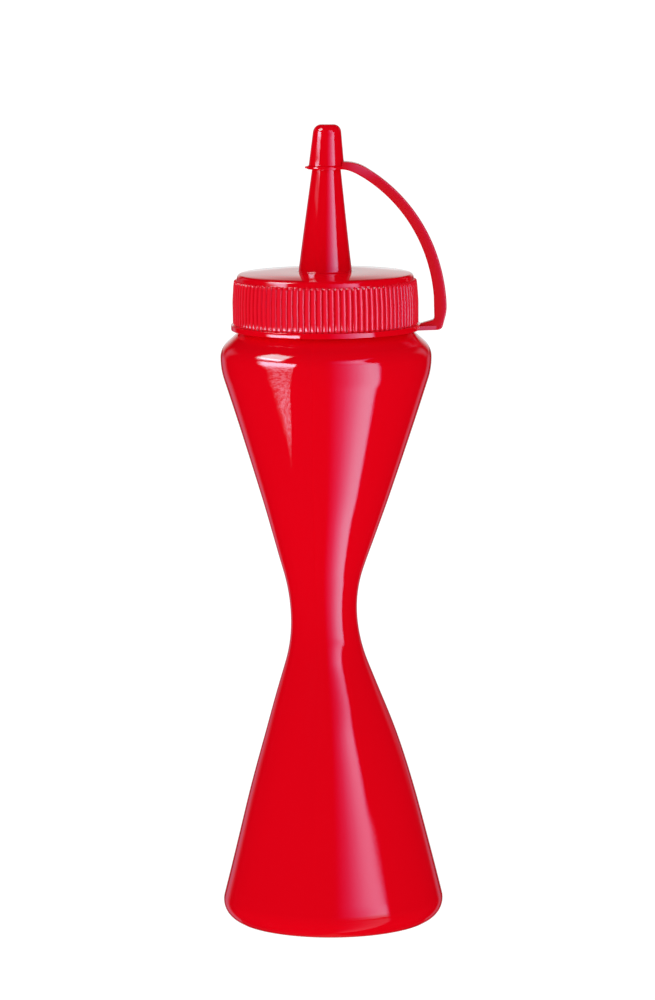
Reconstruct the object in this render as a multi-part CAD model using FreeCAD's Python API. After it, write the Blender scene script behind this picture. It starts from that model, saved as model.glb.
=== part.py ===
import FreeCAD, Part
import math
import os

from FreeCAD import Vector

# A waisted squeeze bottle of blow-moulded plastic, standing on its foot.
# It is three mouldings: the bottle, a screw lid with a tall spout, and a tether
# that is ring, strap and spout cap in one. Millimetres, +Z up, the origin in the
# middle of the foot's standing ring, the strap towards +X.

# ---------------------------------------------------------------- bottle sizes
# The flanks are straight cones that would meet in sharp corners. The sizes give
# those corners, and each has its own rounding.
foot_corner_radius = 34.85
foot_rounding = 6.0
hip_radius = 22.2
hip_height = 50.6
hip_rounding = 400.0
waist_corner_radius = 7.5
waist_height = 92.7
waist_rounding = 45.0
upper_cone_height = 74.6
shoulder_radius = 31.5
shoulder_rounding_below = 18.0
shoulder_band = 5.7
shoulder_rounding_above = 6.0
shoulder_rise = 5.9
neck_radius = 25.0

# The underside is pushed up inside the ring that the bottle stands on.
standing_ring_inner = 24.5
push_up_radius = 21.0
push_up_height = 2.4

# ------------------------------------------------------------------ lid sizes
# The lid's own radii are steps in from the crests of its ribs, which lie a wall
# and a thread's room outside the neck.
lid_depth = 12.95
lid_top_thickness = 2.0
lid_thread_gap = 0.9
lid_wall = 1.32
lid_rim_step = 1.77
lid_rim_rounding = 0.5
lid_dome_height = 0.8
lid_dome_step = 9.45
lid_dome_rounding = 120.0
lid_band_step = 0.97
lid_band_height = 1.75

# Each rib is a bar with a flat crest and sloping sides, drawn in at its head.
rib_count = 96
rib_depth = 0.5
rib_crest_share = 0.34
rib_root_share = 0.76
rib_head_step = 0.62
rib_head_drop = 2.1
rib_taper_height = 4.0

spout_foot_radius = 7.95
spout_tip_radius = 2.9
spout_height = 41.6

# --------------------------------------------------------------- tether sizes
ring_overhang = 0.38
ring_thickness = 1.5
ring_edge_chamfer = 0.3
ring_seat_gap = 0.12
ring_bore_clearance = 0.2
lid_ring_gap = 0.15

cap_length = 13.2
cap_bore_clearance = 0.1
cap_ceiling = 2.0
cap_wall_low = 1.23
cap_wall_high = 1.34
cap_top_rounding = 1.9
collar_step = 0.5
collar_height = 2.0
collar_chamfer = 0.3
lift_tab_reach = 1.3
lift_tab_width = 3.2
lift_tab_thickness = 1.0

strap_width = 3.8
strap_lid_gap = 4.23
strap_post_thickness = 3.8
strap_bend_start = 7.0
strap_inner_lift = 1.2
strap_root_above = 2.85
strap_root_below = 0.75
strap_root_lap = 0.9
strap_foot_lap = 1.5
strap_outer_corner = 5.6
strap_inner_corner = 1.3
strap_edge_chamfer = 0.4

# ------------------------------------------------------ heights that follow on
# From the foot up: cones, shoulder, ring, lid, spout and cap.
shoulder_low = waist_height + upper_cone_height
shoulder_high = shoulder_low + shoulder_band
neck_root = shoulder_high + shoulder_rise
ring_bottom = neck_root + ring_seat_gap
ring_top = ring_bottom + ring_thickness
lid_bottom = ring_top + lid_ring_gap
neck_top = lid_bottom + lid_depth
lid_rim = neck_top + lid_top_thickness
lid_crown = lid_rim + lid_dome_height
spout_tip = lid_crown + spout_height
cap_top = spout_tip + cap_ceiling
cap_bottom = cap_top - cap_length
collar_top = cap_bottom + collar_height

# -------------------------------------------------------- radii that follow on
neck_space_radius = neck_radius + lid_thread_gap
rib_root_radius = neck_space_radius + lid_wall
rib_crest_radius = rib_root_radius + rib_depth
rib_head_radius = rib_crest_radius - rib_head_step
lid_band_radius = rib_crest_radius - lid_band_step
lid_rim_radius = rib_crest_radius - lid_rim_step
lid_dome_flat = lid_rim_radius - lid_dome_step
ring_bore = neck_radius + ring_bore_clearance
ring_radius = rib_crest_radius + ring_overhang
strap_inner = rib_crest_radius + strap_lid_gap
strap_outer = strap_inner + strap_post_thickness

axis_foot = Vector(0, 0, 0)
axis_up = Vector(0, 0, 1)
whole_turn = 360

# Two fillets that share a side fill at most this much of it.
fillet_share = 0.98
tiny = 1e-6


def rounded_wire(corners):
    """Close a wire in the XZ plane through (x, z, rounding) corners, each rounded by an arc."""
    points = [Vector(x, 0, z) for x, z, rounding in corners]
    sides = [(points[index] - points[index - 1]).Length for index in range(len(points))]
    half_angles = []
    tangents = []
    for index, (x, z, rounding) in enumerate(corners):
        back = points[index - 1] - points[index]
        ahead = points[(index + 1) % len(points)] - points[index]
        half_angles.append(back.getAngle(ahead) / 2)
        tangents.append(rounding / math.tan(half_angles[index]))
    arcs = []
    for index, here in enumerate(points):
        following = (index + 1) % len(points)
        room_back = sides[index] / max(tangents[index] + tangents[index - 1], tiny)
        room_ahead = sides[following] / max(tangents[index] + tangents[following], tiny)
        tangent = tangents[index] * min(1, fillet_share * room_back, fillet_share * room_ahead)
        back = (points[index - 1] - here).normalize()
        ahead = (points[following] - here).normalize()
        inward = (back + ahead).normalize()
        to_centre = tangent / math.cos(half_angles[index])
        to_middle = to_centre - tangent * math.tan(half_angles[index])
        arcs.append((here + back * tangent, here + inward * to_middle, here + ahead * tangent))
    edges = []
    for index, (start, middle, end) in enumerate(arcs):
        if corners[index][2] > 0:
            edges.append(Part.Arc(start, middle, end).toShape())
        following = arcs[(index + 1) % len(arcs)][0]
        edges.append(Part.LineSegment(end, following).toShape())
    return Part.Wire(edges)


def turned(corners):
    """Revolve a rounded outline of (radius, height, rounding) corners about the bottle's axis."""
    return Part.Face(rounded_wire(corners)).revolve(axis_foot, axis_up, whole_turn)


def make_bottle():
    """The bottle: a pushed-up foot, two cones that meet in a narrow waist, a shoulder and a neck."""
    return turned(
        [
            (0, push_up_height, 0),
            (push_up_radius, push_up_height, 0),
            (standing_ring_inner, 0, 0),
            (foot_corner_radius, 0, foot_rounding),
            (hip_radius, hip_height, hip_rounding),
            (waist_corner_radius, waist_height, waist_rounding),
            (shoulder_radius, shoulder_low, shoulder_rounding_below),
            (shoulder_radius, shoulder_high, shoulder_rounding_above),
            (neck_radius, neck_root, 0),
            (neck_radius, neck_top, 0),
            (0, neck_top, 0),
        ]
    )


def rib_bars():
    """A star-shaped prism, one bar with a flat crest and sloping sides for each rib."""
    pitch = 2 * math.pi / rib_count
    corners = []
    for rib in range(rib_count):
        for radius, share in (
            (rib_root_radius, -rib_root_share),
            (rib_crest_radius, -rib_crest_share),
            (rib_crest_radius, rib_crest_share),
            (rib_root_radius, rib_root_share),
        ):
            angle = pitch * (rib + share / 2)
            corners.append(Vector(radius * math.cos(angle), radius * math.sin(angle), lid_bottom))
    corners.append(corners[0])
    star = Part.Face(Part.makePolygon(corners))
    return star.extrude(Vector(0, 0, lid_rim - rib_head_drop - lid_bottom))


def rib_heads():
    """The space that the ribs may fill: open below, drawn in by a cone at their heads."""
    head = lid_rim - rib_head_drop
    open_radius = rib_crest_radius + rib_depth
    taper = (rib_crest_radius - rib_head_radius) / rib_taper_height
    return turned(
        [
            (0, lid_bottom, 0),
            (open_radius, lid_bottom, 0),
            (open_radius, head - (open_radius - rib_head_radius) / taper, 0),
            (rib_head_radius, head, 0),
            (0, head, 0),
        ]
    )


def make_lid():
    """The screw lid: a ribbed skirt over the neck, a slightly domed top and the tall spout."""
    head = lid_rim - rib_head_drop
    top = turned(
        [
            (0, head, 0),
            (rib_head_radius, head, 0),
            (lid_band_radius, lid_rim - lid_band_height, 0),
            (lid_rim_radius, lid_rim, lid_rim_rounding),
            (lid_dome_flat, lid_crown, lid_dome_rounding),
            (spout_foot_radius, lid_crown, 0),
            (spout_tip_radius, spout_tip, 0),
            (0, spout_tip, 0),
        ]
    )
    neck_space = Part.makeCylinder(
        neck_space_radius,
        neck_top - lid_bottom + lid_ring_gap,
        Vector(0, 0, lid_bottom - lid_ring_gap),
    )
    skirt = rib_bars().common(rib_heads())
    return top.fuse(skirt).cut(neck_space).removeSplitter()


def spout_radius(height, clearance):
    """The radius of a cone that lies the given clearance outside the spout, at the given height."""
    slope = (spout_foot_radius - spout_tip_radius) / spout_height
    return spout_tip_radius + clearance + slope * (spout_tip - height)


def collar_radius():
    """The radius of the collar, a wall and a step outside the bore of the cap."""
    return spout_radius(collar_top, cap_bore_clearance) + cap_wall_low + collar_step


def make_cap():
    """The spout cap: a thin cone with a rounded top, a collar at its mouth and a lift tab."""
    collar = collar_radius()
    outside = turned(
        [
            (0, cap_bottom, 0),
            (collar, cap_bottom, 0),
            (collar, collar_top - collar_chamfer, 0),
            (collar - collar_chamfer, collar_top, 0),
            (collar - collar_step, collar_top, 0),
            (spout_radius(cap_top, cap_bore_clearance) + cap_wall_high, cap_top, cap_top_rounding),
            (0, cap_top, 0),
        ]
    )
    lift_tab = Part.makeBox(
        collar + lift_tab_reach - spout_radius(cap_bottom, cap_bore_clearance),
        lift_tab_width,
        lift_tab_thickness,
        Vector(-collar - lift_tab_reach, -lift_tab_width / 2, collar_top - lift_tab_thickness),
    )
    bore = turned(
        [
            (0, cap_bottom - collar_height, 0),
            (spout_radius(cap_bottom - collar_height, cap_bore_clearance), cap_bottom - collar_height, 0),
            (spout_radius(spout_tip, cap_bore_clearance), spout_tip, 0),
            (0, spout_tip, 0),
        ]
    )
    return outside.fuse(lift_tab), bore


def make_ring():
    """The tether's flat ring, which lies round the neck between the shoulder and the lid."""
    return turned(
        [
            (ring_bore, ring_bottom, 0),
            (ring_radius - ring_edge_chamfer, ring_bottom, 0),
            (ring_radius, ring_bottom + ring_edge_chamfer, 0),
            (ring_radius, ring_top - ring_edge_chamfer, 0),
            (ring_radius - ring_edge_chamfer, ring_top, 0),
            (ring_bore, ring_top, 0),
        ]
    )


def bend(post, root):
    """An arc in the XZ plane that leaves a post upwards and leans in to the root."""
    reach = post.x - root.x
    rise = root.z - post.z
    radius = (reach * reach + rise * rise) / (2 * reach)
    turn = math.atan2(rise, radius - reach)
    sideways = Vector(radius * math.cos(turn / 2) - radius, 0, radius * math.sin(turn / 2))
    return Part.Arc(post, post + sideways, root).toShape()


def corner_arc(start, corner, end):
    """A quarter turn from start to end, tangent to both sides of a square corner."""
    centre = start + end - corner
    middle = centre + (corner - centre).normalize() * (start - centre).Length
    return Part.Arc(start, middle, end).toShape()


def strap_outline():
    """The strap's side view: a foot on the ring, an upright post and a bend up to the collar."""
    foot_x = ring_bore + strap_foot_lap
    bend_z = lid_bottom + strap_bend_start
    root_x = collar_radius() - strap_root_lap
    low_outside = Vector(strap_outer - strap_outer_corner, 0, ring_bottom)
    side_outside = Vector(strap_outer, 0, ring_bottom + strap_outer_corner)
    low_inside = Vector(strap_inner - strap_inner_corner, 0, ring_top)
    side_inside = Vector(strap_inner, 0, ring_top + strap_inner_corner)
    post_outside = Vector(strap_outer, 0, bend_z)
    post_inside = Vector(strap_inner, 0, bend_z + strap_inner_lift)
    root_above = Vector(collar_radius() + strap_root_above, 0, collar_top)
    root_below = Vector(collar_radius() + strap_root_below, 0, cap_bottom)
    edges = [
        Part.LineSegment(Vector(foot_x, 0, ring_bottom), low_outside).toShape(),
        corner_arc(low_outside, Vector(strap_outer, 0, ring_bottom), side_outside),
        Part.LineSegment(side_outside, post_outside).toShape(),
        bend(post_outside, root_above),
        Part.LineSegment(root_above, Vector(root_x, 0, collar_top)).toShape(),
        Part.LineSegment(Vector(root_x, 0, collar_top), Vector(root_x, 0, cap_bottom)).toShape(),
        Part.LineSegment(Vector(root_x, 0, cap_bottom), root_below).toShape(),
        bend(post_inside, root_below),
        Part.LineSegment(post_inside, side_inside).toShape(),
        corner_arc(side_inside, Vector(strap_inner, 0, ring_top), low_inside),
        Part.LineSegment(low_inside, Vector(foot_x, 0, ring_top)).toShape(),
        Part.LineSegment(Vector(foot_x, 0, ring_top), Vector(foot_x, 0, ring_bottom)).toShape(),
    ]
    return Part.Wire(Part.__sortEdges__(edges))


def make_strap():
    """The strap: its side view given a width, with its long edges broken."""
    side = Part.Face(strap_outline())
    side.translate(Vector(0, -strap_width / 2, 0))
    band = side.extrude(Vector(0, strap_width, 0))
    long_edges = [edge for edge in band.Edges if edge.BoundBox.YLength < tiny]
    return band.makeChamfer(strap_edge_chamfer, long_edges)


def make_tether():
    """The tether in one piece: the ring, the strap and the spout cap, bored to fit the spout."""
    cap, bore = make_cap()
    return make_ring().fuse([make_strap(), cap]).cut(bore).removeSplitter()


def main():
    os.makedirs("parts", exist_ok=True)
    for node, shape in (("bottle", make_bottle()), ("lid", make_lid()), ("tether", make_tether())):
        solid = shape.Solids[0]
        solid.exportStep("parts/" + node + ".step")
        box = solid.BoundBox
        print(node, "solids", len(shape.Solids), "valid", solid.isValid(), "volume", round(solid.Volume, 1))
        print("  x", round(box.XMin, 2), round(box.XMax, 2), "z", round(box.ZMin, 2), round(box.ZMax, 2))


main()
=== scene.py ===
# %% [markdown]
# # A red squeeze bottle in a white studio
# The packed model is the frame. It holds three solids: the bottle, the screw lid with its spout, and the
# tether that keeps the spout cap. This lesson dresses each of them in a finer mesh, gives them moulded
# plastic, and lights them as a small product is lit in a studio.

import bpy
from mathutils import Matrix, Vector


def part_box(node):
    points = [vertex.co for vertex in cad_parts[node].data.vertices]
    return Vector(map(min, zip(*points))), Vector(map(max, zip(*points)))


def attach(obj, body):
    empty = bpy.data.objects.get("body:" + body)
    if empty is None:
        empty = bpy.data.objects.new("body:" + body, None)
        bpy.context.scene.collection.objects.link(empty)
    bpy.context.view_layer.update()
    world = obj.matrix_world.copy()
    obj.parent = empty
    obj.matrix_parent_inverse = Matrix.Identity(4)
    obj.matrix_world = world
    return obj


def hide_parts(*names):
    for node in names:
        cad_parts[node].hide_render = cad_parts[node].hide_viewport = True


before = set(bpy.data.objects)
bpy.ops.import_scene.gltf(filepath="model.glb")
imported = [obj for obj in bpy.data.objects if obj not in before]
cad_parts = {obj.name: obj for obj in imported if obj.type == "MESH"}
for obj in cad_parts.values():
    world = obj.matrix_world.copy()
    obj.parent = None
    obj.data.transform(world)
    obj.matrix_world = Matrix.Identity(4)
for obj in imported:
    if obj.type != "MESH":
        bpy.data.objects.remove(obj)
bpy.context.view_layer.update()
print("solids in the frame:", sorted(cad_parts))

# %% [markdown]
# ## Units and places
# Blender works in metres, but a bottle is easier to think about in millimetres. So every size here is
# written in millimetres, and one factor turns it into metres when a mesh is made. The places where the
# real pieces touch could be typed in again, but then they could disagree with the solids. They are read
# from the solids' boxes instead, which keeps the dressed pieces where the frame has them.

# %% Heights where the pieces meet
mm = 0.001


def box_mm(node):
    """The lowest and highest corner of a solid, in millimetres."""
    low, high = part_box(node)
    return [value / mm for value in low], [value / mm for value in high]


lid_low, lid_high = box_mm("lid")
tether_low, tether_high = box_mm("tether")
neck_top = box_mm("bottle")[1][2]
lid_bottom = lid_low[2]
rib_crest = lid_high[0]
spout_tip = lid_high[2]
ring_bottom = tether_low[2]
ring_radius = -tether_low[0]
cap_top = tether_high[2]
strap_outside = tether_high[0]
print("neck top %.2f, lid from %.2f, ribs out to %.2f" % (neck_top, lid_bottom, rib_crest))
print("spout tip %.2f, cap top %.2f, strap reaches %.2f" % (spout_tip, cap_top, strap_outside))

# %% [markdown]
# ## A soft bottle is never quite straight
# Blow-moulded plastic leaves its mould warm and sags a little, and this bottle's narrow waist sits almost
# two millimetres to one side. A lattice or a bend modifier could lean the meshes afterwards. A rule for
# the sideways shift at each height is simpler, and as every piece is bent by the same rule, the pieces
# still fit.

# %% Easing and smooth lines
import math


def eased(share):
    """A share from 0 to 1 that starts and ends slowly."""
    share = min(max(share, 0), 1)
    return share * share * (3 - 2 * share)


def smooth_line(points, place):
    """A smooth curve through (place, value) points (a Catmull-Rom spline)."""
    places, values = zip(*points)
    place = min(max(place, places[0]), places[-1])
    index = max(1, next(number for number, at in enumerate(places) if place <= at))
    slopes = []
    for middle in (index - 1, index):
        before = max(middle - 1, 0)
        after = min(middle + 1, len(places) - 1)
        slopes.append((values[after] - values[before]) / (places[after] - places[before]))
    step = places[index] - places[index - 1]
    share = (place - places[index - 1]) / step
    rest = 1 - share
    start = (1 + 2 * share) * rest**2 * values[index - 1] + share * rest**2 * step * slopes[0]
    end = share**2 * (3 - 2 * share) * values[index] + share**2 * (share - 1) * step * slopes[1]
    return start + end


print("a quarter of the way, eased: %.3f" % eased(0.25))

# %% The lean, as a sideways shift at each height
lean_points = (
    (0, 0.5), (16, 0.62), (40, 0.49), (57, 0.2), (71, -0.58), (85, -1.26), (97, -1.8),
    (107, -1.84), (118, -1.37), (128, -0.97), (152, -0.53), (175, -0.5), (198, -0.55),
    (228, 0.02), (241, 0.36),
)


def lean(height):
    """How far the axis has moved towards +X at this height."""
    return smooth_line(lean_points, height)


print("lean at the waist: %.2f mm" % lean(97))

# %% [markdown]
# ## Outlines
# Everything round on this bottle was cut on a lathe once, in the steel of its mould. Such a form starts
# as an outline of radius and height. Writing each curve as many points would be slow to change, so an
# outline here has only its sharp corners, and each corner carries the radius of the arc that rounds it,
# as on a drawing.

# %% The arc at one corner
from mathutils import Vector


def half_corner(back, ahead):
    """Half the angle between the two sides of a corner."""
    return math.acos(max(-1, min(1, back.dot(ahead)))) / 2


def arc_point(corner, back, ahead, cut, share):
    """A point on the arc that touches both sides of a corner at the distance cut from it."""
    inward = (back + ahead).normalized()
    centre = corner + inward * (cut / math.cos(half_corner(back, ahead)))
    start = corner + back * cut - centre
    end = corner + ahead * cut - centre
    turn = math.atan2(start.x * end.y - start.y * end.x, start.dot(end)) * share
    cosine = math.cos(turn)
    sine = math.sin(turn)
    return centre + Vector((start.x * cosine - start.y * sine, start.x * sine + start.y * cosine))


middle_of_arc = arc_point(Vector((0, 0)), Vector((1, 0)), Vector((0, 1)), 1, 0.5)
print("an arc of 1 mm in a square corner passes %.2f mm from it" % middle_of_arc.length)


# %% A whole outline from its corners
def arc_cuts(points, roundings):
    """How far from each corner its arc would start, if its neighbours left it room."""
    cuts = [0.0] * len(points)
    for index in range(1, len(points) - 1):
        back = (points[index - 1] - points[index]).normalized()
        ahead = (points[index + 1] - points[index]).normalized()
        cuts[index] = roundings[index] / math.tan(half_corner(back, ahead))
    return cuts


def divided(points, longest):
    """The same line with its long runs divided."""
    finished = [points[0]]
    for here in points[1:]:
        start = finished[-1]
        run = here - start
        pieces = max(1, math.ceil(run.length / longest))
        finished.extend(start + run * (piece / pieces) for piece in range(1, pieces + 1))
    return finished


def rounded_outline(corners, longest=4.0, arc_steps=12):
    """(radius, height) points along (radius, height, rounding) corners, with the arcs filled in."""
    points = [Vector((radius, height)) for radius, height, rounding in corners]
    cuts = arc_cuts(points, [rounding for radius, height, rounding in corners])
    outline = []
    for index, here in enumerate(points):
        cut = cuts[index]
        if cut > 0:
            room_back = (points[index - 1] - here).length / (cut + cuts[index - 1])
            room_ahead = (points[index + 1] - here).length / (cut + cuts[index + 1])
            cut = cut * min(1, 0.98 * room_back, 0.98 * room_ahead)
            back = (points[index - 1] - here).normalized()
            ahead = (points[index + 1] - here).normalized()
            for step in range(arc_steps + 1):
                outline.append(arc_point(here, back, ahead, cut, step / arc_steps))
        else:
            outline.append(here)
    return [(point.x, point.y) for point in divided(outline, longest)]


print("a rounded square corner:", len(rounded_outline([(0, 0, 0), (10, 0, 2), (10, 10, 0)])), "points")

# %% [markdown]
# ## From rings to a mesh
# A lathe form is a stack of rings. Blender's Screw modifier could spin the outline, but it makes every
# ring perfectly round. These helpers join ring to ring with four-sided faces themselves, so the radius
# may depend on the angle too. That is how the ribs of the lid and the seam of the bottle get into the
# same mesh as the form that carries them.

# %% Finishing a mesh
import bmesh
import bpy


def finished_object(name, builder, smooth_angle=40):
    """Leans a mesh in millimetres, turns it into metres and shades it smooth except at sharp edges."""
    for vertex in builder.verts:
        vertex.co.x += lean(vertex.co.z)
        vertex.co *= mm
    bmesh.ops.recalc_face_normals(builder, faces=builder.faces)
    for face in builder.faces:
        face.smooth = True
    for edge in builder.edges:
        edge.smooth = edge.calc_face_angle(0) < math.radians(smooth_angle)
    mesh = bpy.data.meshes.new(name)
    builder.to_mesh(mesh)
    builder.free()
    piece = bpy.data.objects.new(name, mesh)
    bpy.context.scene.collection.objects.link(piece)
    print("%s: %d vertices, %d faces" % (name, len(mesh.vertices), len(mesh.polygons)))
    return piece


print("meshes that came with the frame:", len(bpy.data.meshes))


# %% The lathe
def join_rings(builder, low, high):
    """Faces between two rings. Where a ring is one point on the axis, they have three corners."""
    count = max(len(low), len(high))
    for index in range(count):
        after = (index + 1) % count
        low_pair = (low[index % len(low)], low[after % len(low)])
        high_pair = (high[after % len(high)], high[index % len(high)])
        corners = list(dict.fromkeys(low_pair + high_pair))
        if len(corners) > 2:
            builder.faces.new(corners)


def lathe(name, outline, angles, radius_at=None, depth_at=None, twist_at=None, smooth_angle=40):
    """Turns an outline through the angles. radius_at(radius, height, angle) may change the radius,
    depth_at(height) may flatten a ring from front to back, and twist_at(height) may turn it."""
    builder = bmesh.new()
    rings = []
    for radius, height in outline:
        if radius < 1e-6:
            rings.append([builder.verts.new((0, 0, height))])
            continue
        ring = []
        depth = depth_at(height) if depth_at else 1
        twist = twist_at(height) if twist_at else 0
        for angle in angles:
            here = radius_at(radius, height, angle) if radius_at else radius
            turned = angle + twist
            place = (here * math.sin(turned), -here * depth * math.cos(turned), height)
            ring.append(builder.verts.new(place))
        rings.append(ring)
    for low, high in zip(rings, rings[1:]):
        join_rings(builder, low, high)
    return finished_object(name, builder, smooth_angle)


def even_angles(count):
    """Angles all the way round, in radians, starting at the front."""
    return [math.tau * index / count for index in range(count)]


print("four even angles:", [round(math.degrees(angle)) for angle in even_angles(4)])

# %% [markdown]
# ## The seams of the bottle
# The real bottle is a tube of hot plastic blown out against the two halves of a mould. Where the halves
# met, a hair-thin seam runs up the bottle, just left of the front and again at the back. A bump map could
# draw it, but it is real relief, so a few extra columns of vertices stand close beside each seam and
# carry a fine ridge.

# %% Seams, and the columns beside them
seam_angle = math.radians(-10)
seam_height = 0.035
seam_width = math.radians(0.5)
seams = (seam_angle, seam_angle + math.pi)
seam_offsets = (-3, -2, -1.2, -0.6, 0, 0.6, 1.2, 2, 3)
bottle_columns = 240


def seam_distance(angle, seam):
    """How far an angle is from a seam, in seam widths."""
    return abs((angle - seam + math.pi) % math.tau - math.pi) / seam_width


def clear_of_seams(angle):
    """True where an even column doesn't crowd the columns of a seam."""
    return all(seam_distance(angle, seam) > 3.4 for seam in seams)


bottle_angles = [angle for angle in even_angles(bottle_columns) if clear_of_seams(angle)]
bottle_angles += [(seam + offset * seam_width) % math.tau for seam in seams for offset in seam_offsets]
bottle_angles.sort()
print("columns round the bottle:", len(bottle_angles))

# %% [markdown]
# ## The bottle
# The flanks are straight cones that flow into each other at a narrow waist. The form could be sculpted,
# but a turned outline with rounded corners gives exactly the mould maker's arcs. Under the foot a shallow
# push-up leaves a standing ring, as on every blown bottle, so that it doesn't rock.

# %% The bottle's outline
underside = 2.4
shoulder_radius = 31.5
neck_radius = 25.0
neck_foot = 179.1
neck_end = neck_top - 0.05
bottle_corners = [
    (0, underside, 0),
    (21.0, underside, 1.5),  # the push-up
    (24.5, 0, 1.2),  # the standing ring
    (34.83, 0, 6.15),  # the heel
    (22.2, 50.6, 400.0),  # a slight swell in the lower cone
    (7.5, 92.7, 45.0),  # the waist
    (shoulder_radius, 167.3, 21.0),
    (shoulder_radius, 173.5, 6.0),
    (neck_radius + 0.4, neck_foot - 0.12, 0.3),
    (neck_radius, neck_foot, 0),
    (neck_radius, neck_top - 0.3, 0),
    (neck_radius - 0.3, neck_end, 0),
    (0, neck_end, 0),
]
bottle_outline = rounded_outline(bottle_corners, longest=3.0, arc_steps=16)
print("narrowest radius: %.2f mm" % min(radius for radius, height in bottle_outline if 60 < height < 130))


# %% What the warm plastic does to the outline
def with_seam(radius, height, angle):
    """Raises a fine ridge along both seams, a quarter as high below 85 mm as it is above 125 mm."""
    lift = 0.0
    if 1 < height < neck_foot - 0.1:
        for seam in seams:
            away = seam_distance(angle, seam)
            lift += seam_height * (0.25 + 0.75 * eased((height - 85) / 40)) * math.exp(-away * away)
    return radius + lift


def waist_depth(height):
    """The soft waist is a tenth flatter from front to back, between round cones below 52 and above 130 mm."""
    return 1 - 0.1 * eased((height - 52) / 45) * eased((130 - height) / 25)


def seam_twist(height):
    """The seam drifts to the left, by 4.2 degrees, over the 55 mm below the shoulder."""
    return math.radians(2.2 - 4.2 * eased((173 - height) / 55))


bottle = lathe(
    "bottle_body",
    bottle_outline,
    bottle_angles,
    radius_at=with_seam,
    depth_at=waist_depth,
    twist_at=seam_twist,
)

# %% [markdown]
# ## The lid
# The screw lid is injection moulded, so its details are crisp. A smooth band runs under the rim, and
# below it grooves leave ninety-six ribs for a good grip. Each rib ends in a small arch. Cutting the
# grooves with booleans would work, but it would leave ragged faces that catch the light. Here all of it
# is one surface: the outline gives the smooth lid, and a rule takes the grooves out of it, column by
# column.

# %% The lid's outline
lid_rim = neck_top + 2.0
lid_crown = lid_rim + 0.8
lid_bore = 25.9
rib_head = 194.0
band_radius = 26.45
spout_foot_radius = 7.95
spout_tip_radius = 2.9
spout_end = spout_tip - 0.02

lid_corners = [
    (lid_bore, neck_top - 0.02, 0),
    (lid_bore, lid_bottom + 0.4, 0),
    (26.2, lid_bottom, 0),
    (27.3, lid_bottom, 0.2),
    (27.66, lid_bottom + 0.5, 0.3),
    (rib_crest, 187.5, 20.0),  # the skirt is fullest here
    (27.42, 192.0, 6.0),
    (27.2, 193.72, 0.35),
    (band_radius, rib_head, 0.12),  # a small step up to the smooth band
    (26.12, lid_rim, 1.0),
    (16.5, lid_crown, 120.0),  # a slightly domed top
    (spout_foot_radius, lid_crown, 0.35),
    (spout_tip_radius + 0.04, spout_tip - 0.4, 0),
    (spout_tip_radius - 0.3, spout_end, 0),
    (0, spout_end, 0),
]
smooth_lid = rounded_outline(lid_corners, longest=2.0, arc_steps=6)
print("points along the lid:", len(smooth_lid))

# %% The ribs
rib_count = 96
groove_depth = 0.52
rib_arch = 0.85
rib_step = 0.3
rib_phases = (-0.5, -0.46, -0.4, -0.32, -0.19, 0, 0.19, 0.32, 0.4, 0.46)
lid_angles = [math.tau * (rib + phase) / rib_count for rib in range(rib_count) for phase in rib_phases]


def with_ribs(radius, height, angle):
    """Rounds every rib, sinks a narrow groove on each side of it and gives it an arched head."""
    if radius < band_radius or not lid_bottom + 0.1 < height < rib_head:
        return radius
    away = abs((angle * rib_count / math.tau + 0.5) % 1 - 0.5) * 2
    rib_radius = radius - groove_depth * away**3
    head = rib_head - rib_arch * away**2
    return band_radius + (rib_radius - band_radius) * eased((head - height) / rib_step)


print("one rib is %.2f mm wide" % (math.tau * rib_crest / rib_count))

# %% The skirt and the spout
head_rings = 14
head_ring_step = 0.1
skirt_outside = 26.3


def with_head_rings(outline):
    """The lid's outline with extra rings where the ribs end, so that their arched heads come out clean."""
    levels = sorted(rib_head - head_ring_step * ring for ring in range(1, head_rings + 1))
    dense = []
    for (radius, height), (next_radius, next_height) in zip(outline, outline[1:]):
        dense.append((radius, height))
        if radius > skirt_outside and next_radius > skirt_outside and next_height > height:
            for level in levels:
                if height + 0.03 < level < next_height - 0.03:
                    share = (level - height) / (next_height - height)
                    dense.append((radius + (next_radius - radius) * share, level))
    dense.append(outline[-1])
    return dense


lid_outline = with_head_rings(smooth_lid)
spout_start = next(
    index for index, (radius, height) in enumerate(lid_outline) if height > lid_rim and radius < 12
)
lid_skirt = lathe(
    "lid_skirt",
    lid_outline[: spout_start + 1],
    lid_angles,
    radius_at=with_ribs,
    smooth_angle=60,
)
spout = lathe("spout", lid_outline[spout_start:], even_angles(192))

# %% [markdown]
# ## The tether's ring
# Ring, strap and spout cap leave the mould as one piece, so that the cap can't get lost. The ring lies
# loose round the neck, right under the lid. A torus would look too soft for it: the real one is a flat
# band with small roundings, so it is turned from an outline like the lid.

# %% The ring
ring_bore = 25.25
ring_chamfer = ring_bore + 0.15
ring_outside = ring_radius + 0.15
ring_top = lid_bottom - 0.01
ring_corners = [
    (ring_bore, ring_bottom + 0.2, 0),
    (ring_chamfer, ring_bottom, 0),
    (ring_outside, ring_bottom, 0.25),
    (ring_outside, ring_top, 0.2),
    (ring_chamfer, ring_top, 0),
    (ring_bore, ring_top - 0.2, 0),
    (ring_bore, ring_bottom + 0.2, 0),
]
ring = lathe("tether_ring", rounded_outline(ring_corners, longest=2.0, arc_steps=5), even_angles(192))

# %% [markdown]
# ## The spout cap
# The cap is a thimble that slips over the spout, with a thin collar to push it off by. Its bore has to
# follow the spout's own taper, so it isn't guessed: the slope of the spout gives the bore's radius at the
# bottom.

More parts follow.
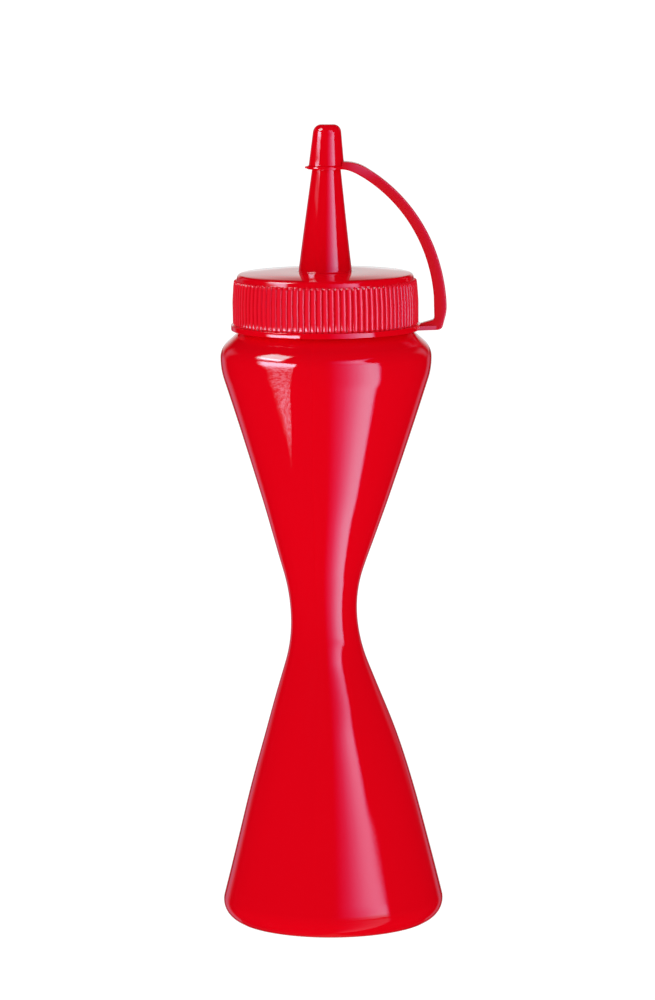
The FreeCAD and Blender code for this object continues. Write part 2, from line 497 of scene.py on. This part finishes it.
# %% The cap
cap_bottom = cap_top - 13.2
collar_top = cap_bottom + 1.0
collar_radius = 5.85
bore_top = spout_tip + 0.01
bore_top_radius = spout_tip_radius + 0.1
spout_slope = (spout_foot_radius - spout_tip_radius) / (spout_tip - lid_crown)
bore_radius = bore_top_radius + spout_slope * (spout_tip - cap_bottom)
cap_corners = [
    (0, bore_top, 0),
    (bore_top_radius, bore_top, 0),
    (bore_radius, cap_bottom, 0),
    (collar_radius - 0.15, cap_bottom, 0.1),
    (collar_radius, cap_bottom + 0.4, 0.15),
    (collar_radius - 0.1, cap_bottom + 0.85, 0.2),
    (5.25, collar_top + 0.15, 0.25),
    (3.95, cap_top, 2.4),
    (0, cap_top, 0),
]
cap = lathe("spout_cap", rounded_outline(cap_corners, longest=2.0, arc_steps=8), even_angles(128))

# %% [markdown]
# ## The strap
# The strap is a flat bar that stands up from the ring, bends over in a wide arc and runs level into the
# cap's collar. A bevelled curve could make it, but the real strap isn't equally thick all along. So its
# outer and inner side are two lines of their own, and a rounded section is swept between them.

# %% One side of the strap
strap_end = 4.6
arc_rise = 3
easing_steps = 12


def hoop_side(post, radius, meet, level, steps=48):
    """Points up an arc that leaves the top of the post upright, as far as meet, towards the cap, and then
    a short easing that runs level into the cap."""
    centre = (post[0] - radius, post[1])
    first = math.asin(arc_rise / radius)
    last = math.acos((meet - centre[0]) / radius)
    points = []
    for step in range(steps + 1):
        angle = first + (last - first) * step / steps
        points.append((centre[0] + radius * math.cos(angle), centre[1] + radius * math.sin(angle)))
    start = points[-1]
    corner = (start[0] - (level - start[1]) * math.tan(last), level)
    ends = (start, corner, (strap_end, level))
    for step in range(1, easing_steps + 1):
        share = step / easing_steps
        weights = ((1 - share) ** 2, 2 * share * (1 - share), share**2)
        across = sum(weight * end[0] for weight, end in zip(weights, ends))
        height = sum(weight * end[1] for weight, end in zip(weights, ends))
        points.append((across, height))
    return points


def resampled(points, count):
    """The same line with evenly spaced points."""
    lengths = [0.0]
    for here, there in zip(points, points[1:]):
        lengths.append(lengths[-1] + math.dist(here, there))
    line = []
    index = 0
    for step in range(count):
        target = lengths[-1] * step / (count - 1)
        while index < len(points) - 2 and lengths[index + 1] < target:
            index += 1
        share = (target - lengths[index]) / (lengths[index + 1] - lengths[index])
        line.append(tuple(a + (b - a) * share for a, b in zip(points[index], points[index + 1])))
    return line


print("three even points on a line:", resampled([(0, 0), (1, 0), (4, 0)], 3))

# %% Both sides, from the foot to the cap
post_outer = strap_outside + 0.35
post_inner = strap_outside - 3.4
foot_bottom = ring_bottom - 0.35
foot_top = ring_top - 0.5
foot_root = 26.6
foot_points = 40
hoop_points = 70

outer_hoop = hoop_side((post_outer, 184.5), radius=49.6, meet=11.5, level=229.0)
outer_foot = rounded_outline(
    [(foot_root, foot_bottom, 0), (34.5, foot_bottom, 1.7), (post_outer, 184.4, 12), (*outer_hoop[0], 0)]
)
outer_side = resampled(outer_foot, foot_points)[:-1] + resampled(outer_hoop, hoop_points)

inner_hoop = hoop_side((post_inner, 185.5), radius=45.7, meet=9.5, level=226.75)
inner_foot = rounded_outline([(foot_root, foot_top, 0), (post_inner, 181.8, 1.0), (*inner_hoop[0], 0)])
inner_side = resampled(inner_foot, foot_points)[:-1] + resampled(inner_hoop, hoop_points)
print("post %.2f mm thick, foot %.2f mm" % (post_outer - post_inner, foot_top - foot_bottom))


# %% Sections and the sweep
def section(outer, inner, width, rounding=0.45, corner_points=4):
    """A rounded four-sided section between an outer and an inner point, in the order round its edge."""
    across = Vector((inner[0] - outer[0], 0, inner[1] - outer[1]))
    thick = across.length
    along = across.normalized()
    side = Vector((0, 1, 0))
    middle = Vector(((outer[0] + inner[0]) / 2, 0, (outer[1] + inner[1]) / 2))
    rounding = min(rounding, 0.45 * thick, 0.45 * width)
    points = []
    for side_sign, along_sign, start in ((1, 1, 0), (-1, 1, 90), (-1, -1, 180), (1, -1, 270)):
        for step in range(corner_points + 1):
            angle = math.radians(start + 90 * step / corner_points)
            sideways = side_sign * (width / 2 - rounding) + rounding * math.cos(angle)
            lengthways = along_sign * (thick / 2 - rounding) + rounding * math.sin(angle)
            points.append(middle + side * sideways + along * lengthways)
    return points


def sweep(name, sections):
    """Joins sections, each a ring of as many points, and closes both ends."""
    builder = bmesh.new()
    rings = [[builder.verts.new(point) for point in ring_points] for ring_points in sections]
    for low, high in zip(rings, rings[1:]):
        join_rings(builder, low, high)
    builder.faces.new(rings[0])
    builder.faces.new(rings[-1])
    return finished_object(name, builder)


print("points round a section:", len(section((0, 1), (0, 0), 3)))

# %% The strap
strap_width = 3.8
strap_flare = 2.8


def width_at(outer):
    """The strap's width, which flares where it meets the cap."""
    if outer[1] > 210:
        return strap_width + strap_flare * eased((16 - outer[0]) / 11)
    return strap_width


strap_sections = [section(outer, inner, width_at(outer)) for outer, inner in zip(outer_side, inner_side)]
strap = sweep("tether_strap", strap_sections)

# %% [markdown]
# ## The strap's foot and the lift tab
# Two short tabs finish the tether. Where the strap leaves the ring it spreads, which spares the thin root
# from tearing. Opposite the strap, a small tongue on the collar gives a fingertip its hold. Each is a bar
# whose section changes from root to tip, so both come from one helper and a rule for the section.

# %% The foot
def tab(name, steps, section_at):
    """A short bar whose section changes from its root, share 0, to its tip, share 1."""
    return sweep(name, [section_at(step / steps) for step in range(steps + 1)])


def foot_section(share):
    """Wide where the foot leaves the ring, and as narrow as the strap at the post."""
    across = 26.0 + 6.9 * share
    return section((across, foot_top - 0.05), (across, foot_bottom + 0.02), 7.4 - 3.4 * share, 0.2)


strap_foot = tab("strap_foot", 12, foot_section)

# %% The lift tab
tab_middle = cap_bottom + 0.5
tab_root = collar_radius - 0.6


def lift_section(share):
    """Thinner and narrower towards the tip, which is rounded like a fingernail."""
    reach = tab_root + 1.1 * share
    half_thick = 0.42 - 0.2 * share
    width = 3.2 * math.sqrt(1 - 0.55 * share * share)
    return section((-reach, tab_middle + half_thick), (-reach, tab_middle - half_thick), width, 0.25)


lift_tab = tab("lift_tab", 6, lift_section)

# %% [markdown]
# ## Shader maths
# A procedural material is a graph of nodes. Wiring nodes one by one is slow to write and hard to read, so
# two small classes let Python expressions do it. The first wraps a socket and gives it Python's
# arithmetic, where each use adds one Math node. The second wraps the node tree: any other node comes from
# one method that sets the node up and returns an output.

# %% A wrapped socket
class Wire:
    """A node socket that can be used in Python expressions."""

    def __init__(self, graph, socket):
        self.graph = graph
        self.socket = socket

    def math(self, operation, *others):
        return self.graph.node("ShaderNodeMath", {"operation": operation}, [self, *others])

    def __add__(self, other):
        return self.math("ADD", other)

    def __radd__(self, other):
        return self.math("ADD", other)

    def __sub__(self, other):
        return self.math("SUBTRACT", other)

    def __rsub__(self, other):
        return (self * -1) + other

    def __mul__(self, other):
        return self.math("MULTIPLY", other)

    def __rmul__(self, other):
        return self.math("MULTIPLY", other)

    def __truediv__(self, other):
        return self.math("DIVIDE", other)

    def __neg__(self):
        return self * -1

    def rise(self, start, end):
        """0 before start and 1 past end, with a smooth step between; it falls if start is above end."""
        if start > end:
            return 1 - self.rise(end, start)
        settings = {"interpolation_type": "SMOOTHSTEP"}
        return self.graph.node("ShaderNodeMapRange", settings, [self, start, end, 0.0, 1.0])

    def band(self, start, full, fading, end):
        """Rises from start to full, and falls again from fading to end."""
        return self.rise(start, full) * self.rise(end, fading)

    def curve(self, stops):
        """A smooth line through (place, value) stops, read from a ramp whose values lie from 0 to 1."""
        return self.graph.node("ShaderNodeValToRGB", {"stops": stops}, [self])


print("a wire's own methods:", [name for name in vars(Wire) if not name.startswith("_")])


# %% A wrapped node tree
class Graph:
    """A node tree that is built by expressions."""

    def __init__(self, tree):
        self.tree = tree
        tree.nodes.clear()

    def node(self, kind, settings=None, values=(), output=0):
        """Adds a node: its settings first, then its sockets' values or links, by order or by name."""
        node = self.tree.nodes.new(kind)
        for name, value in (settings or {}).items():
            if name == "stops":
                self.set_stops(node.color_ramp, value)
            else:
                setattr(node, name, value)
        pairs = values.items() if isinstance(values, dict) else enumerate(values)
        for key, value in pairs:
            if isinstance(value, Wire):
                self.tree.links.new(value.socket, node.inputs[key])
            else:
                node.inputs[key].default_value = value
        return Wire(self, node.outputs[output]) if node.outputs else None

    def set_stops(self, ramp, stops):
        """Gives a ramp its grey stops, with a smooth curve through them."""
        ramp.interpolation = "CARDINAL"
        while len(ramp.elements) < len(stops):
            ramp.elements.new(0.5)
        for element, (place, value) in zip(ramp.elements, stops):
            element.position = place
            element.color = (value, value, value, 1)

    def split(self, vector):
        """The x, y and z of a vector."""
        outputs = self.node("ShaderNodeSeparateXYZ", {}, [vector]).socket.node.outputs
        return [Wire(self, output) for output in outputs]

    def mix(self, share, first, second):
        """A colour between two others. A Mix node's colour inputs are 6 and 7, and its output 2."""
        return self.node("ShaderNodeMix", {"data_type": "RGBA"}, {0: share, 6: first, 7: second}, 2)


print("a graph's own methods:", [name for name in vars(Graph) if not name.startswith("_")])

# %% [markdown]
# ## Glossy red plastic
# The body is polyethylene coloured all the way through, with a blown skin that is glossy but never quite
# flat. Under a light its highlights have slightly ragged edges. Roughness alone would only blur them. A
# fine noise bump gives that grain, and a broad, very weak one gives the gentle waviness of a blown wall.
# The lid and the tether are injection moulded, so their skin is smoother.

# %% The reds
red = (0.905, 0.0003, 0.0088, 1.0)
# The same red with painted shade, for the strap's flat face, which looks darker than the rest of the tether.
painted_shade_red = (0.76, 0.0010, 0.0120, 1.0)


def darker(colour, share):
    """The same colour with less light in it."""
    return tuple(share * part for part in colour[:3]) + (1.0,)


# A groove's red is the red with painted shade.
print("the red of a groove:", [round(part, 4) for part in darker(red, 0.86)])

# %% [markdown]
# ## Painted light among the ribs
# Between the ribs little light gets in, and on their crests the thin plastic glows a little as light
# passes through it. Real scattering would be slow for so small an effect, so both are painted. The angle
# round the lid tells a shader where it is on a rib, and a mask from that angle paints shade into the
# grooves and a faint painted glow, as emission, on the crests.

# %% Painted shade and glow on the ribs
rib_middle = 188
# The grooves get painted shade, and the crests a painted glow.
groove_painted_shade = 0.86
crest_painted_glow = (0.1, 0.008, 0.018)


def rib_painted_shade_and_glow(graph, place, tone, colour):
    """The colour with painted shade in the grooves and a painted glow on the crests, neither above the ribs.
    """
    x, y, z = graph.split(place)
    turn = (x - lean(rib_middle) * mm).math("ARCTAN2", -y) * (rib_count / math.tau)
    away = ((turn + 0.5).math("FRACT") - 0.5).math("ABSOLUTE") * 2
    above = z.rise((rib_head - 0.4) * mm, (rib_head + 0.2) * mm)
    crest = away.rise(1.0, 0.2) * (1 - above)
    lit = (crest + above).math("MINIMUM", 1.0)
    base = graph.mix(lit, darker(colour, groove_painted_shade), tone)
    light = graph.node("ShaderNodeCombineColor", {}, [crest * part for part in crest_painted_glow])
    return base, light


print("the mask repeats every %.2f degrees" % (360 / rib_count))

# %% The plastics
wave_size = 14


def plastic(name, colour, roughness, grain_size, grain_height, wave_height=0.0, painted_light_at=None):
    """A glossy moulded plastic with a fine grain and broad waves; an optional rule may paint shade and a glow
    into its colour. Sizes are in millimetres.
    """
    material = bpy.data.materials.new(name)
    material.use_nodes = True
    graph = Graph(material.node_tree)
    place = graph.node("ShaderNodeTexCoord", {}, [], "Object")
    fine = {"Vector": place, "Scale": 1 / (grain_size * mm), "Detail": 2.0}
    broad = {"Vector": place, "Scale": 1 / (wave_size * mm), "Detail": 1.0}
    grain = graph.node("ShaderNodeTexNoise", {}, fine, "Fac")
    waves = graph.node("ShaderNodeTexNoise", {}, broad, "Fac")
    tone = graph.mix(waves * 0.5, colour, darker(colour, 0.965))
    height = grain * (grain_height * mm) + waves * (wave_height * mm)
    bump = {"Strength": 1.0, "Distance": 1.0, "Height": height}
    relief = graph.node("ShaderNodeBump", {}, bump, "Normal")
    sockets = {"Base Color": tone, "Roughness": roughness + grain * 0.02, "IOR": 1.5, "Normal": relief}
    # Painted shade goes into the base colour, and a painted glow into the emission.
    if painted_light_at:
        sockets["Base Color"], sockets["Emission Color"] = painted_light_at(graph, place, tone, colour)
        sockets["Emission Strength"] = 1.0
    surface = graph.node("ShaderNodeBsdfPrincipled", {}, sockets)
    graph.node("ShaderNodeOutputMaterial", {}, [surface])
    print("%s: %d nodes" % (name, len(material.node_tree.nodes)))
    return material


moulded = {"roughness": 0.04, "grain_size": 0.9, "grain_height": 0.0012}
blown_skin = plastic("blown_skin", red, 0.04, grain_size=0.5, grain_height=0.008, wave_height=0.004)
moulded_skin = plastic("moulded_skin", red, **moulded)
# The lid's ribbed skin carries painted shade in its grooves and a painted glow on its crests.
ribbed_skin = plastic("ribbed_skin", red, **moulded, painted_light_at=rib_painted_shade_and_glow)
# The strap and its foot wear the red with painted shade.
strap_skin = plastic("strap_skin", painted_shade_red, 0.16, grain_size=0.7, grain_height=0.0020)

# %% [markdown]
# ## Dressing the frame
# Each mesh gets its finish and is tied to the frame: it rides on a body, and the solid it stands for is
# hidden. A row for each piece keeps four facts in one place: the mesh, its solid, its finish and the
# plastic of the record, which nothing here reads.

# %% Dress the pieces
dressing = (
    (bottle, "bottle", blown_skin, "bottle_plastic"),
    (lid_skirt, "lid", ribbed_skin, "lid_plastic"),
    (spout, "lid", moulded_skin, "lid_plastic"),
    (ring, "tether", moulded_skin, "tether_plastic"),
    (strap, "tether", strap_skin, "tether_plastic"),
    (strap_foot, "tether", strap_skin, "tether_plastic"),
    (cap, "tether", moulded_skin, "tether_plastic"),
    (lift_tab, "tether", moulded_skin, "tether_plastic"),
)
for piece, node, material, slot in dressing:
    piece.data.materials.append(material)
    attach(piece, "root")
    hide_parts(node)
print("dressed pieces:", len(dressing))

# %% [markdown]
# ## The studio
# Glossy plastic shows its studio in its highlights. A tall soft light at the right fades towards the
# front and ends sharply at its far edge. A small bright one hangs high at the left. Weak strips behind
# draw the thin pale lines just inside the outline, and a pale backdrop shows in the lid's flat top. Area
# lamps could be placed for each, but lights so large are simpler to shape as soft-edged areas of
# direction in the world's shader. Only reflections see them. All other light is an even white, as in a
# light tent.

# %% Directions, in degrees
world = bpy.data.worlds.new("studio")
bpy.context.scene.world = world
world.use_nodes = True
studio = Graph(world.node_tree)
direction = studio.node("ShaderNodeTexCoord", {}, [], "Generated")
towards_x, towards_y, towards_z = studio.split(direction)
azimuth = towards_x.math("ARCTAN2", -towards_y) * math.degrees(1)
elevation = towards_z.math("ARCSINE") * math.degrees(1)
far_round = azimuth.math("ABSOLUTE")
print("azimuth is 0 towards the front, 90 at the right, and far_round is 180 straight behind")

# %% [markdown]
# ## The large light
# The big highlight on the right of the bottle is a tall softbox. On the cones it looks like a ribbon with
# one crisp edge, and each part of the bottle reflects another height of the room. A rectangle of light
# would bend that ribbon too evenly. So the softbox's far edge is a curve of azimuth over elevation, with
# a point wherever the ribbon bends.

# %% The large light at the right
far_edge = (
    (-50, 64.5), (-37, 64.5), (-30, 64.8), (-18, 61.8), (-5, 59.5), (1, 58.5), (8, 58.5),
    (11, 58.5), (12.5, 55.3), (14, 50.7), (16, 47.8), (18, 46.3), (20, 45.0), (23, 44.0),
    (26.5, 43.5), (30, 45.5), (36, 60.0), (50, 66.0),
)
lowest = far_edge[0][0]
span = far_edge[-1][0] - lowest
most = 100
edge_stops = [((height - lowest) / span, edge / most) for height, edge in far_edge]
right_edge = ((elevation - lowest) / span).curve(edge_stops) * most

fade_stops = (
    (0.0, 0.0), (0.1, 0.006), (0.2, 0.03), (0.3, 0.075), (0.39, 0.15), (0.5, 0.31),
    (0.6, 0.5), (0.7, 0.74), (0.8, 0.93), (0.88, 1.0), (1.0, 0.97),
)
right_fade = (azimuth / right_edge).curve(fade_stops)
right_cut = (right_edge - azimuth).rise(-3.0, 3.0)
right_strength = 4.9 - 1.75 * elevation.rise(7.0, 11.5) + 0.5 * elevation.rise(12.0, 27.0)
right_light = right_fade * right_cut * elevation.rise(38.0, 26.0) * right_strength
edges = [edge for height, edge in far_edge]
print("the large light ends %.0f to %.0f degrees round" % (min(edges), max(edges)))

# %% [markdown]
# ## The smaller lights
# A softbox high at the left gives the shoulder its bright patch. Behind the bottle, weak strips graze its
# sides: they are what separates a red bottle from a white background. The backdrop's reflection turns the
# top of the lid pale, as any flat glossy thing looks when it is seen at a low angle. Each is a product of
# bands, and a band is four angles: where it starts, is full, begins to fade and ends.

# %% The light at the left, the strips and the backdrop
left_light = azimuth.band(-94.0, -86.0, -55.0, -49.0) * elevation.band(26.5, 29.0, 50.0, 58.0) * 12.5

low_left = far_round.band(137.0, 149.0, 154.0, 162.0) * azimuth.rise(0.0, -1.0) * 0.3
low_right = far_round.band(141.0, 151.0, 153.0, 160.0) * azimuth.rise(0.0, 1.0) * 0.22
low_strips = (low_left + low_right) * elevation.rise(6.0, -6.0)
high_strip_start = 116 + elevation.rise(24.0, 0.0) * 16
high_strip = (far_round - high_strip_start).rise(0.0, 16.0) * far_round.rise(150.0, 140.0)
rear_strips = low_strips + high_strip * elevation.band(-4.0, 6.0, 14.0, 26.0) * 0.3

lid_top_glow = far_round.rise(150.0, 168.0) * elevation.band(-1.0, 2.5, 8.0, 19.0) * 0.87
outline_glow = far_round.rise(165.0, 174.0) * elevation.rise(4.0, -1.0) * 0.9
backdrop = lid_top_glow + outline_glow
print("nodes in the studio so far:", len(world.node_tree.nodes))

# %% [markdown]
# ## The tint of a highlight
# Plain white light on this red would turn the highlights salmon. A red this strong is already close to
# the brightest red there is, so a highlight on it can only add green and blue, and looks cool and pink.
# Tinting the plastic's specular colour would do it, but the tint isn't the same for each light. So each
# reflected light is given little red, and the faint edge of the large one gets more blue than its bright
# middle.

# %% The tints of the reflected light
right_red = right_light * (0.3 + 0.45 * elevation.rise(4.0, 12.0))
right_blue = right_light.math("MAXIMUM", 0.0).math("POWER", 0.675) * 2.45
reflected_red = right_red + left_light * 0.4 + rear_strips * 0.6 + backdrop * 0.85
reflected_green = right_light + left_light + rear_strips + backdrop
reflected_blue = right_blue + left_light * 1.05 + rear_strips * 1.5 + backdrop

is_glossy = studio.node("ShaderNodeLightPath", {}, [], "Is Glossy Ray")
is_camera = studio.node("ShaderNodeLightPath", {}, [], "Is Camera Ray")
tent = (0.67 + is_camera * 0.43) * (1 - is_glossy)
reflected = (reflected_red, reflected_green, reflected_blue)
tinted = studio.node("ShaderNodeCombineColor", {}, [is_glossy * channel + tent for channel in reflected])
sky = studio.node("ShaderNodeBackground", {}, {"Color": tinted, "Strength": 1.0})
studio.node("ShaderNodeOutputWorld", {}, [sky])
world.cycles.sampling_method = "NONE"
print("nodes in the studio:", len(world.node_tree.nodes))

# %% [markdown]
# ## The floor
# The bottle stands on a plain white sweep that is lit until it is almost paper white. A purely white
# emitter would swallow every shadow, and a purely matt floor would come out grey. So a little light of
# its own is mixed into a white matt surface, which leaves a breath of shadow round the foot.

# %% The floor
floor_half = 4.0
floor_builder = bmesh.new()
bmesh.ops.create_grid(floor_builder, x_segments=1, y_segments=1, size=floor_half)
floor_mesh = bpy.data.meshes.new("floor")
floor_builder.to_mesh(floor_mesh)
floor_builder.free()
floor = bpy.data.objects.new("floor", floor_mesh)
bpy.context.scene.collection.objects.link(floor)

floor_paint = bpy.data.materials.new("white_floor")
floor_paint.use_nodes = True
paint = Graph(floor_paint.node_tree)
seen = paint.node("ShaderNodeLightPath", {}, [], "Is Camera Ray")
matt = paint.node("ShaderNodeBsdfDiffuse", {}, {"Color": (0.9, 0.9, 0.9, 1)})
own_light = paint.node("ShaderNodeEmission", {}, {"Color": (1, 1, 1, 1), "Strength": 1.12})
mixed = paint.node("ShaderNodeMixShader", {}, [seen * 0.2 + 0.75, matt, own_light])
paint.node("ShaderNodeOutputMaterial", {}, [mixed])
floor_mesh.materials.append(floor_paint)
floor.visible_glossy = False
print("floor: %.0f m across" % (2 * floor_half))

# %% [markdown]
# ## A soft lamp
# An even tent alone leaves a thing a little flat. One large, weak lamp high at the front left gives the
# red a gentle direction. A sun lamp would do the same with harder shadows. This one stays out of the
# reflections, which the world's lights and the cards below take care of.

# %% The soft lamp
lamp_data = bpy.data.lights.new("soft_lamp", "AREA")
lamp_data.shape = "SQUARE"
lamp_data.size = 0.8
lamp_data.energy = 1.2
lamp = bpy.data.objects.new("soft_lamp", lamp_data)
bpy.context.scene.collection.objects.link(lamp)
lamp.location = (-0.5, -0.9, 0.9)
middle_of_bottle = Vector((0, 0, 0.12))
lamp.rotation_euler = (middle_of_bottle - lamp.location).to_track_quat("-Z", "Y").to_euler()
lamp.visible_glossy = False
print("lamp power: %.1f W over %.1f m" % (lamp_data.energy, lamp_data.size))

# %% [markdown]
# ## Small cards for single highlights
# In a product studio, small white cards held near a glossy thing draw one highlight at a time, and a
# black one, called a flag, keeps a light out of one part of it. Here a card is a four-cornered sheet that
# only reflections see. Its UV places run from 0 to 1 across and up it, so a few expressions can soften
# its edges and change its brightness with height, which an area lamp can't do.

# %% The sheet of a card
sheet_places = ((0, 0), (1, 0), (1, 1), (0, 1))


def card_sheet(name, corners):
    """A four-cornered sheet in millimetres, from its low left corner round to its high left one."""
    builder = bmesh.new()
    face = builder.faces.new([builder.verts.new([value * mm for value in corner]) for corner in corners])
    places = builder.loops.layers.uv.new("sheet")
    for loop, place in zip(face.loops, sheet_places):
        loop[places].uv = place
    mesh = bpy.data.meshes.new(name)
    builder.to_mesh(mesh)
    builder.free()
    return mesh


print("places at a sheet's corners, across and up:", sheet_places)


# %% The light of a card
card_tint = (0.6, 1.0, 1.3, 1)


def card_light(name, light, black_share):
    """The sheet's shader: light that adds to what is behind it, or black that hides a share of it."""
    material = bpy.data.materials.new(name)
    material.use_nodes = True
    graph = Graph(material.node_tree)
    place = graph.node("ShaderNodeTexCoord", {}, [], "UV")
    across, up = graph.split(place)[:2]
    clear = graph.node("ShaderNodeBsdfTransparent")
    if light:
        glow = graph.node("ShaderNodeEmission", {}, {"Color": card_tint, "Strength": light(across, up)})
        sheen = graph.node("ShaderNodeAddShader", {}, [glow, clear])
    else:
        black = graph.node("ShaderNodeEmission", {}, {"Color": (0, 0, 0, 1), "Strength": 0.0})
        sheen = graph.node("ShaderNodeMixShader", {}, [black_share(across, up), clear, black])
    graph.node("ShaderNodeOutputMaterial", {}, [sheen])
    return material


print("the cards are %.1f times as blue as they are red" % (card_tint[2] / card_tint[0]))


# %% A card
def card(name, corners, light=None, black_share=None):
    """A sheet for reflections. light(across, up) gives its brightness. For a flag, black_share(across, up)
    gives the share of black instead."""
    mesh = card_sheet(name, corners)
    mesh.materials.append(card_light(name, light, black_share))
    sheet = bpy.data.objects.new(name, mesh)
    bpy.context.scene.collection.objects.link(sheet)
    sheet.visible_camera = False
    sheet.visible_diffuse = False
    sheet.visible_shadow = False
    sheet.visible_transmission = False
    print("%s: %.0f square centimetres" % (name, mesh.polygons[0].area * 10000))


print("cards are hidden from the camera, and cast no shadow")

# %% [markdown]
# ## The patch on the shoulder
# The brightest mark on the bottle is at its left: a bright bar under the shoulder with a grainy streak
# below it. On the real skin the streak is broken up by the grain, because it is the dim edge of a light.
# The bump alone would need to be so strong that it spoiled the calm highlights. So this card brings its
# own grain: it is bright at the top, dim and grainy below, and narrows towards its foot.

# %% The shoulder card
streak_height = (
    (0.0, 0.007), (0.07, 0.037), (0.13, 0.08), (0.21, 0.185), (0.4, 0.2), (0.65, 0.15),
    (0.78, 0.17), (0.83, 0.5), (0.87, 0.95), (1.0, 1.0),
)
streak_left = (
    (0.0, 0.22), (0.1, 0.25), (0.21, 0.14), (0.45, 0.14), (0.65, 0.18), (0.78, 0.2),
    (0.85, 0.05), (1.0, 0.0),
)
streak_right = (
    (0.0, 0.5), (0.1, 0.6), (0.21, 0.75), (0.45, 0.86), (0.65, 0.93), (0.85, 0.97),
    (1.0, 0.97),
)


def shoulder_glow(across, up):
    """A grainy streak on the cone: dim and narrow at its foot, wider and brighter below the shoulder."""
    place = across.graph.node("ShaderNodeCombineXYZ", {}, [across * 8, up * 50])
    ragged = {"Vector": place, "Scale": 1.0, "Detail": 2.0}
    noise = across.graph.node("ShaderNodeTexNoise", {}, ragged, "Fac")
    grainy = 0.35 + 1.3 * noise.rise(0.41, 0.6)
    grainy = grainy + (1 - grainy) * up.rise(0.78, 0.86)
    left_side = (across - up.curve(streak_left)).rise(0.0, 0.22)
    right_side = (up.curve(streak_right) - across).rise(0.0, 0.08)
    return up.curve(streak_height) * 13.5 * left_side * right_side * grainy * up.rise(0.985, 0.955)


shoulder_corners = ((-33.8, -28.1, 122), (-27.2, -36, 122), (-21, -51, 179.6), (-41, -25.5, 179.6))
card("shoulder_card", shoulder_corners, shoulder_glow)

# %% [markdown]
# ## A card for the spout and its cap
# The narrow spout and its cap show one thin bright line at the left. A lamp near enough to draw it would
# light up the cones as well. So its card stands a quarter of a metre away and above the lid, where only
# the cap, the spout and the rounded shoulder reflect it.

# %% The cap card
cap_stops = (
    (0.0, 0.0), (0.04, 0.07), (0.2, 0.1), (0.27, 0.5), (0.4, 0.62), (0.46, 0.8),
    (0.52, 1.0), (1.0, 1.0),
)


def cap_glow(across, up):
    """Faint below for the spout, brighter for the cap, and brightest at the top for the shoulder."""
    return up.curve(cap_stops) * 12.5 * across.rise(0.0, 0.35) * across.rise(1.0, 0.8)


cap_card_corners = ((-249, -22, 248), (-186, -167, 248), (-186, -167, 310), (-249, -22, 310))
card("cap_card", cap_card_corners, cap_glow)

# %% [markdown]
# ## Flags at the foot
# Near the table the large light fades out of the heel, because the table itself shades it. The floor here
# is left out of reflections, so two flags do the table's part: one lies under the front of the bottle,
# and one stands low at its right and is blackest at the bottom.

# %% The foot and heel flags
heel_stops = ((0.0, 0.85), (0.15, 0.78), (0.38, 0.7), (0.55, 0.6), (0.72, 0.35), (0.86, 0.15), (1.0, 0.0))


def foot_shade(across, up):
    """The table lets a little of the large light back up to the foot."""
    return 0.89


def heel_shade(across, up):
    """The share of black in front of the large light, which shades it towards the table."""
    return up.curve(heel_stops)


foot_corners = ((-65, -65, -0.5), (65, -65, -0.5), (65, -12, -0.5), (-65, -12, -0.5))
heel_corners = ((-10, -80, -0.5), (85, -5, -0.5), (85, -5, 14), (-10, -80, 14))
card("foot_flag", foot_corners, black_share=foot_shade)
card("heel_flag", heel_corners, black_share=heel_shade)

# %% [markdown]
# ## The camera
# A long lens from a metre and a half away looks slightly down on the bottle, so its cones keep straight
# sides and the lid shows a thin ellipse of its top. A short lens close by would swell the foot and shrink
# the cap. The camera is turned by a small angle about its own axis, as a tripod set by hand often is.

# %% The camera
camera_distance = 1500.0
camera_height = 340.5
camera_sideways = -0.36
camera_pitch = 0.141
camera_roll = math.radians(0.4)
camera_data = bpy.data.cameras.new("camera")
camera_data.lens = 182.2
camera_data.sensor_fit = "VERTICAL"
camera_data.sensor_height = 36.0
camera = bpy.data.objects.new("camera", camera_data)
bpy.context.scene.collection.objects.link(camera)
camera.location = (camera_sideways * mm, -camera_distance * mm, camera_height * mm)
camera.rotation_euler = (math.pi / 2 - camera_pitch, 0, 0)
camera.rotation_euler.rotate_axis("Z", -camera_roll)
bpy.context.scene.camera = camera
bpy.context.scene.view_settings.view_transform = "Standard"
print("the camera looks down by %.1f degrees" % math.degrees(camera_pitch))

# %% [markdown]
# ## Sizes
# The dressed bottle has to fill the same space as the solids it stands for.
